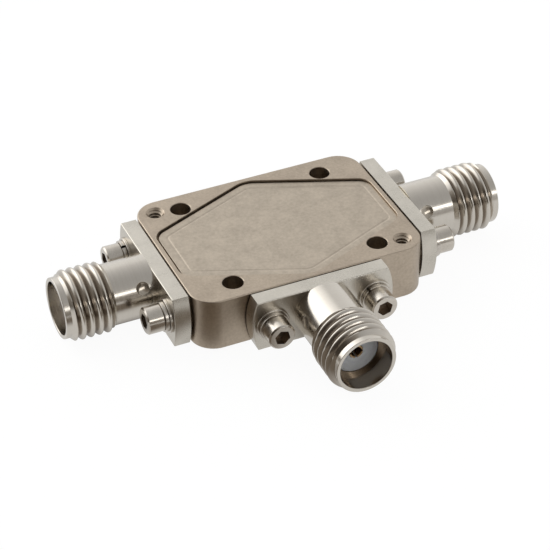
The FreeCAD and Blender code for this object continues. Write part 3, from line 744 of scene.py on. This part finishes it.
def speckle_group():
    """Fine plating speckle over a slow mottle: a colour, a roughness and a height."""
    group, given, out = shader_group("plated speckle", (
        ("Position", DIRECTION, None), ("Pale", COLOUR, (0.5, 0.45, 0.4, 1)),
        ("Dark", COLOUR, (0.3, 0.27, 0.23, 1)), ("Grain Scale", NUMBER, 9000.0),
        ("Mottle Scale", NUMBER, 260.0), ("Rough Low", NUMBER, 0.3), ("Rough High", NUMBER, 0.45)),
        (("Colour", COLOUR), ("Roughness", NUMBER), ("Height", NUMBER)))
    calc = partial(link_math, group)
    fine = noise(group, given["Position"], given["Grain Scale"], 2.0, 0.6)
    slow = noise(group, given["Position"], given["Mottle Scale"], 4.0, 0.6)
    both = calc("ADD", calc("MULTIPLY", fine, 0.45), calc("MULTIPLY", slow, 0.55))
    share = stretch(group, both, 0.36, 0.64)
    group.links.new(blend_colour(group, share, given["Dark"], given["Pale"]), out["Colour"])
    group.links.new(stretch(group, slow, 0.3, 0.7, given["Rough Low"], given["Rough High"]),
                    out["Roughness"])
    group.links.new(fine, out["Height"])
    return group


def turning_group():
    """Tool marks that run round an axis, a mask for a jack's flange, and masks for its thread roots
    and bore, where painted shade and tone go.
    """
    group, given, out = shader_group("turning marks", (
        ("Position", DIRECTION, None), ("Axis", DIRECTION, (1, 0, 0)),
        ("Centre", DIRECTION, (0, 0, AXIS_HEIGHT * TO_METRES)), ("Marks Scale", NUMBER, 9000.0),
        ("Flange End", NUMBER, 0.0125), ("Rough Low", NUMBER, 0.12), ("Rough High", NUMBER, 0.3)),
        (("Marks", NUMBER), ("Roughness", NUMBER), ("Flange", NUMBER), ("Root", NUMBER),
         ("Bore", NUMBER)))
    calc = partial(link_math, group)
    away = vector_math(group, "SUBTRACT", given["Position"], given["Centre"])
    along = vector_math(group, "DOT_PRODUCT", away, given["Axis"], output="Value")
    sideways = vector_math(group, "SUBTRACT", away,
                           vector_math(group, "MULTIPLY", given["Axis"], along))
    radial = vector_math(group, "LENGTH", sideways, output="Value")
    line = group.nodes.new("ShaderNodeCombineXYZ")
    group.links.new(along, line.inputs["X"])
    group.links.new(radial, line.inputs["Y"])
    fine = noise(group, line.outputs[0], given["Marks Scale"], 3.0, 0.7)
    broad = noise(group, given["Position"], 350.0, 3.0, 0.6)
    both = calc("ADD", calc("MULTIPLY", fine, 0.6), calc("MULTIPLY", broad, 0.4))
    beyond = calc("SUBTRACT", calc("ABSOLUTE", along), given["Flange End"])
    first, last = ((end - FLANGE_THICKNESS) * TO_METRES for end in (THREAD_START, THREAD_END))
    lead, blur = 0.25 * TO_METRES, 0.01 * TO_METRES
    turns = calc("MULTIPLY", stretch(group, beyond, first + lead, first + 2 * lead),
                 stretch(group, beyond, last - lead, last - 2 * lead))
    # Thread roots: a mask for painted shade between the crests
    root = stretch(group, radial, (THREAD_RADIUS - 0.06) * TO_METRES,
                   (THREAD_RADIUS - 0.34) * TO_METRES)
    # Bore: a mask for a painted tone inside the mouth
    edge = (MOUTH_RADIUS + 0.01) * TO_METRES
    rough = stretch(group, both, 0.35, 0.65, given["Rough Low"], given["Rough High"])
    flange = stretch(group, beyond, 0.0, blur, 1.0, 0.0)
    bore = stretch(group, radial, edge, edge + blur, 1.0, 0.0)
    for socket, value in zip(out, (fine, rough, flange, calc("MULTIPLY", turns, root), bore)):
        group.links.new(value, socket)
    return group


# Materials

METAL = {"Metallic": 1.0}


def new_material(name, sockets):
    material = bpy.data.materials.new(name)
    material.use_nodes = True
    tree = material.node_tree
    shader = tree.nodes["Principled BSDF"]
    for label, value in sockets.items():
        shader.inputs[label].default_value = value
    return material, tree, shader


def object_position(tree):
    return tree.nodes.new("ShaderNodeTexCoord").outputs["Object"]


def place_group(tree, group, **values):
    node = tree.nodes.new("ShaderNodeGroup")
    node.node_tree = group
    tree.links.new(object_position(tree), node.inputs["Position"])
    for label, value in values.items():
        node.inputs[label.replace("_", " ")].default_value = value
    return node.outputs


def place_speckle(tree, speckle, pale, dark, rough, grain, mottle):
    return place_group(tree, speckle, Pale=(*pale, 1), Dark=(*dark, 1), Grain_Scale=grain,
                       Mottle_Scale=mottle, Rough_Low=rough[0], Rough_High=rough[1])


def dress(tree, shader, colour, roughness, height, strength, depth):
    """Feeds a shader its colour and roughness, and a bump from a height, in metres."""
    tree.links.new(colour, shader.inputs["Base Color"])
    tree.links.new(roughness, shader.inputs["Roughness"])
    node = tree.nodes.new("ShaderNodeBump")
    node.inputs["Strength"].default_value = strength
    node.inputs["Distance"].default_value = depth
    tree.links.new(height, node.inputs["Height"])
    tree.links.new(node.outputs["Normal"], shader.inputs["Normal"])


def speckled(name, speckle, strength, sockets, depth=3e-6, **finish):
    """A material of one speckle, whose finish is tones, roughness range and two scales."""
    material, tree, shader = new_material(name, sockets)
    spread = place_speckle(tree, speckle, **finish)
    dress(tree, shader, spread["Colour"], spread["Roughness"], spread["Height"], strength, depth)
    return material


def satin_nickel(name, speckle, strength=0.25, **finish):
    return speckled(name, speckle, strength, METAL, 4e-6, **finish)


def housing_nickel(speckle):
    return satin_nickel("satin nickel housing", speckle, pale=(0.515, 0.435, 0.345),
                        dark=(0.395, 0.33, 0.26), rough=(0.3, 0.42), grain=4500.0, mottle=500.0)


def lid_nickel(speckle):
    return satin_nickel("satin nickel lid", speckle, pale=(0.54, 0.468, 0.38),
                        dark=(0.42, 0.362, 0.292), rough=(0.3, 0.42), grain=3600.0, mottle=650.0)


def washer_steel(speckle):
    return satin_nickel("bright washer steel", speckle, 0.15, pale=(0.66, 0.62, 0.56),
                        dark=(0.50, 0.46, 0.41), rough=(0.14, 0.28), grain=12000.0, mottle=900.0)


def screw_steel(speckle):
    """Polished heads, with painted shade in the sockets: their faces there are darker, and rougher.
    """
    material, tree, shader = new_material("polished screw steel", METAL)
    spread = place_speckle(tree, speckle, pale=(0.66, 0.615, 0.55), dark=(0.55, 0.505, 0.445),
                           rough=(0.14, 0.26), grain=12000.0, mottle=900.0)
    # Painted shade: faces inside the socket are darkened to brown-grey and made rougher
    sunk = tree.nodes.new("ShaderNodeAttribute")
    sunk.attribute_name = "sunk"
    dress(tree, shader,
          blend_colour(tree, sunk.outputs["Fac"], spread["Colour"], (0.38, 0.32, 0.26)),
          stretch(tree, sunk.outputs["Fac"], 0.0, 1.0, spread["Roughness"], 0.35),
          spread["Height"], 0.1, 4e-6)
    return material


def turned_steel(name, turning, speckle, axis, face, bore):
    """Barrels with turning marks on a satin milled flange, with painted shade in the thread roots
    and a painted tone in the bore, darkest in the middle jack's.
    """
    material, tree, shader = new_material(name, METAL)
    marks = place_group(tree, turning, Axis=axis, Centre=(0, 0, AXIS_HEIGHT * TO_METRES),
                        Flange_End=(face + FLANGE_THICKNESS) * TO_METRES,
                        Rough_Low=0.14, Rough_High=0.25)
    satin = place_speckle(tree, speckle, pale=(0.66, 0.62, 0.55), dark=(0.54, 0.51, 0.45),
                          rough=(0.24, 0.34), grain=9000.0, mottle=500.0)
    tone = blend_colour(tree, marks["Marks"], (0.56, 0.52, 0.46), (0.66, 0.62, 0.56))
    # Painted shade: thread roots darkened
    tone = blend_colour(tree, marks["Root"], tone, (0.40, 0.355, 0.305))
    # Painted tone in the bore: painted shade in the middle jack, near the steel's own tone in the
    # end jacks
    tone = blend_colour(tree, marks["Bore"], tone, bore)
    milled = marks["Flange"]
    dress(tree, shader, blend_colour(tree, milled, tone, satin["Colour"]),
          stretch(tree, milled, 0.0, 1.0, marks["Roughness"], satin["Roughness"]),
          stretch(tree, milled, 0.0, 1.0, marks["Marks"], satin["Height"]), 0.2, 3e-6)
    return material


def gold_plate(speckle):
    return speckled("dull gold plate", speckle, 0.15, METAL, pale=(0.55, 0.40, 0.24),
                    dark=(0.40, 0.27, 0.14), rough=(0.25, 0.45), grain=9000.0, mottle=700.0)


def sleeve_white(speckle):
    waxy = {"Subsurface Weight": 0.3, "Subsurface Radius": (0.0006, 0.0006, 0.0008)}
    return speckled("waxy white sleeve", speckle, 0.1, waxy, pale=(0.74, 0.77, 0.80),
                    dark=(0.66, 0.69, 0.72), rough=(0.35, 0.5), grain=6000.0, mottle=500.0)


def plug_resin(speckle):
    cloudy = {"Metallic": 0.7, "Coat Weight": 0.4}
    return speckled("cloudy resin", speckle, 0.1, cloudy, pale=(0.56, 0.50, 0.42),
                    dark=(0.44, 0.39, 0.32), rough=(0.08, 0.18), grain=2500.0, mottle=700.0)


def circuit_ceramic(speckle):
    return speckled("polished white ceramic", speckle, 0.2, {}, pale=(0.86, 0.86, 0.84),
                    dark=(0.78, 0.78, 0.76), rough=(0.25, 0.4), grain=9000.0, mottle=800.0)


def chip_dark(speckle):
    return speckled("polished dark chip", speckle, 0.2, {}, pale=(0.12, 0.12, 0.15),
                    dark=(0.06, 0.06, 0.08), rough=(0.1, 0.2), grain=9000.0, mottle=800.0)


def bead_glass(speckle):
    return speckled("dark green bead", speckle, 0.2, {}, pale=(0.10, 0.18, 0.14),
                    dark=(0.05, 0.10, 0.08), rough=(0.05, 0.15), grain=4000.0, mottle=900.0)


# Studio

# Level direction towards the camera, where the room is dark
DARK_SIDE = (-0.616, -0.788, 0.0)


def empty_tree(owner):
    owner.use_nodes = True
    owner.node_tree.nodes.clear()
    return owner.node_tree


def end_in_mix(tree, share, first, second, output_kind):
    """Ends a tree in a mix of two shaders."""
    mix = tree.nodes.new("ShaderNodeMixShader")
    for socket, value in zip(mix.inputs, (share, first.outputs[0], second.outputs[0])):
        tree.links.new(value, socket)
    output = tree.nodes.new(output_kind)
    tree.links.new(mix.outputs[0], output.inputs[0])


def make_floor():
    level, reach = (AXIS_HEIGHT - THREAD_RADIUS - 0.001) * TO_METRES, 3.0
    corners = [(x * reach, y * reach, level) for x, y in ((-1, -1), (1, -1), (1, 1), (-1, 1))]
    floor = to_object("floor", (corners, [(0, 1, 2, 3)]))
    paint(floor, floor_material())


def floor_material():
    """White to the camera but for the shadow; the metal's reflections of it carry painted shade in
    front, on the camera's side, and a painted shadow underneath.
    """
    material = bpy.data.materials.new("white floor")
    tree = empty_tree(material)
    calc, shade = partial(link_math, tree), partial(blend_colour, tree)
    path = tree.nodes.new("ShaderNodeLightPath").outputs
    camera = path["Is Camera Ray"]
    glossy = calc("MAXIMUM", path["Is Glossy Ray"], path["Is Transmission Ray"])
    position = object_position(tree)
    # Painted shade: the floor darkens in reflections towards the camera's side, beyond about 13 mm
    # from the middle
    nearer = vector_math(tree, "DOT_PRODUCT", position, DARK_SIDE, output="Value")
    length = vector_math(tree, "LENGTH", position, output="Value")
    front_shade = calc("MULTIPLY", stretch(tree, calc("DIVIDE", nearer, length), 0.82, 0.94),
                stretch(tree, nearer, 0.0125, 0.015))
    mirrored = shade(front_shade, (1.0, 1.0, 1.0), (0.26, 0.22, 0.18))
    # Painted shadow under the housing and barrels, in reflections only
    mirrored = shade(under_shadow(tree), mirrored, (0.16, 0.135, 0.11))
    diffuse = tree.nodes.new("ShaderNodeBsdfDiffuse")
    # Painted shade in the floor's diffuse colour for reflections on the camera's side
    tree.links.new(shade(calc("MULTIPLY", front_shade, glossy), (0.55, 0.55, 0.55),
                         (0.08, 0.064, 0.052)), diffuse.inputs["Color"])
    glow = tree.nodes.new("ShaderNodeEmission")
    tree.links.new(shade(camera, mirrored, (1.11, 1.11, 1.11)), glow.inputs["Color"])
    share = calc("MAXIMUM", calc("MULTIPLY", camera, 0.85), calc("MULTIPLY", glossy, 0.7))
    end_in_mix(tree, share, diffuse, glow, "ShaderNodeOutputMaterial")
    return material


def under_shadow(tree):
    """Mask of the floor's painted shadow in reflections: 1 under the housing and the three barrels,
    falling to 0 just beside them.

    Each patch has its distances in metres, each with where it starts to count and where fully.
    """
    place = tree.nodes.new("ShaderNodeSeparateXYZ")
    tree.links.new(object_position(tree), place.inputs[0])
    aside = link_math(tree, "ABSOLUTE", place.outputs["X"])
    along = link_math(tree, "ABSOLUTE", place.outputs["Y"])
    front = link_math(tree, "MULTIPLY", place.outputs["Y"], -1.0)
    patches = (((aside, 0.012, 0.009), (along, 0.008, 0.005)),
               ((aside, 0.021, 0.0185), (along, 0.003, 0.0005)),
               ((front, 0.018, 0.0155), (aside, 0.003, 0.0005), (front, -0.001, 0.001)))
    shade = 0.0
    for patch in patches:
        share = 1.0
        for value, edge, core in patch:
            share = link_math(tree, "MULTIPLY", share, stretch(tree, value, edge, core))
        shade = link_math(tree, "MAXIMUM", shade, share)
    return shade


def make_lamp(name, turn, height, width, tall, glow, distance=0.5):
    """A softbox placed by its turn from the front and its height, in degrees."""
    around, above = math.radians(turn), math.radians(height)
    place = Vector((math.sin(around) * math.cos(above), -math.cos(around) * math.cos(above),
                    math.sin(above)))
    data = bpy.data.lights.new(name, "AREA")
    data.shape = "RECTANGLE"
    data.size = 2 * distance * math.tan(math.radians(width / 2))
    data.size_y = 2 * distance * math.tan(math.radians(tall / 2))
    data.energy = glow * math.pi * data.size * data.size_y
    lamp = bpy.data.objects.new(name, data)
    lamp.location = place * distance
    lamp.rotation_euler = place.to_track_quat("Z", "Y").to_euler()
    bpy.context.scene.collection.objects.link(lamp)


def facing(tree, direction, centre, outer, inner):
    """1 within the inner angle round a centre direction, 0 past the outer one, in degrees."""
    near = vector_math(tree, "DOT_PRODUCT", direction, centre, output="Value")
    return stretch(tree, near, math.cos(math.radians(outer)), math.cos(math.radians(inner)))


def make_world():
    """Pale room, brighter low down, to the rear and round one glow, dark on the camera's side."""
    world = bpy.data.worlds.new("studio")
    bpy.context.scene.world = world
    tree = empty_tree(world)
    calc = partial(link_math, tree)
    direction = tree.nodes.new("ShaderNodeTexCoord").outputs["Generated"]
    parts = tree.nodes.new("ShaderNodeSeparateXYZ")
    tree.links.new(direction, parts.inputs[0])
    height = calc("MULTIPLY", parts.outputs["Z"], parts.outputs["Z"])
    room = calc("MULTIPLY_ADD", height, -0.3, 0.8)
    room = calc("MULTIPLY_ADD", parts.outputs["Y"], 0.24, room)
    glow = facing(tree, direction, (-0.459, 0.734, 0.5), 44, 6)
    room = calc("MULTIPLY_ADD", glow, 1.05, room)
    grey = tree.nodes.new("ShaderNodeCombineColor")
    for label in ("Red", "Green", "Blue"):
        tree.links.new(room, grey.inputs[label])
    dim = facing(tree, direction, DARK_SIDE, 64, 60)
    dark = facing(tree, direction, DARK_SIDE, 58, 32)
    side = blend_colour(tree, dim, grey.outputs[0], (0.32, 0.29, 0.26))
    light = tree.nodes.new("ShaderNodeBackground")
    tree.links.new(blend_colour(tree, dark, side, (0.06, 0.05, 0.04)), light.inputs["Color"])
    plain = tree.nodes.new("ShaderNodeBackground")
    plain.inputs["Color"].default_value = (1, 1, 1, 1)
    path = tree.nodes.new("ShaderNodeLightPath")
    end_in_mix(tree, path.outputs["Is Camera Ray"], light, plain, "ShaderNodeOutputWorld")


def make_studio():
    make_floor()
    make_world()
    make_lamp("rear left softbox", turn=-146, height=28, width=34, tall=40, glow=0.25)
    make_lamp("front strip light", turn=21, height=27, width=34, tall=9, glow=2.5)


# Making

def make_jacks(thread, speckle, gold):
    turning = turning_group()
    # The last colour is the bore's painted tone: near the steel's own in the end jacks, painted
    # shade in the middle jack
    end_steel = turned_steel("turned steel end jacks", turning, speckle, (1, 0, 0),
                             HALF_LENGTH, (0.68, 0.63, 0.56))
    middle_steel = turned_steel("turned steel middle jack", turning, speckle, (0, 1, 0),
                                HALF_WIDTH, (0.36, 0.31, 0.255))
    white, resin = sleeve_white(speckle), plug_resin(speckle)
    for jack in JACKS:
        make_shell(jack, thread, end_steel if jack.outward.x else middle_steel)
        make_resin(jack, resin)
        make_insulator(jack, white)
        make_contact(jack, gold)


def make_fasteners(speckle):
    seats, washer = seat_tree(), washer_steel(speckle)
    seat_fasteners(seats, "socket_screws", screw_shape(), SPRING_WASHER_TOP,
                   screw_steel(speckle), "screw_steel")
    seat_fasteners(seats, "spring_washers", spring_washer_shape(), FLAT_WASHER_TOP,
                   washer, "washer_steel", "_spring_washer")
    seat_fasteners(seats, "flat_washers", flat_washer_shape(), FLANGE_THICKNESS,
                   washer, "washer_steel", "_flat_washer")


def paint_circuit(speckle, gold):
    """Finishes of the inner solids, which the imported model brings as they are."""
    finishes = {"glass_bead": bead_glass(speckle), "substrate": circuit_ceramic(speckle),
                "mixer_chip": chip_dark(speckle), "feedthrough_pin": gold, "circuit_line": gold,
                "bond_ribbon": gold, "circuit_carrier": gold}
    for name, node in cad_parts.items():
        for ending, material in finishes.items():
            if name.endswith(ending):
                paint(node, material)


def main():
    aim_camera()
    thread, speckle = thread_tree(), speckle_group()
    gold = gold_plate(speckle)
    make_housing(thread, housing_nickel(speckle))
    make_lid(lid_nickel(speckle))
    make_jacks(thread, speckle, gold)
    make_fasteners(speckle)
    paint_circuit(speckle, gold)
    make_studio()
    bpy.context.scene.view_settings.view_transform = "Standard"


main()
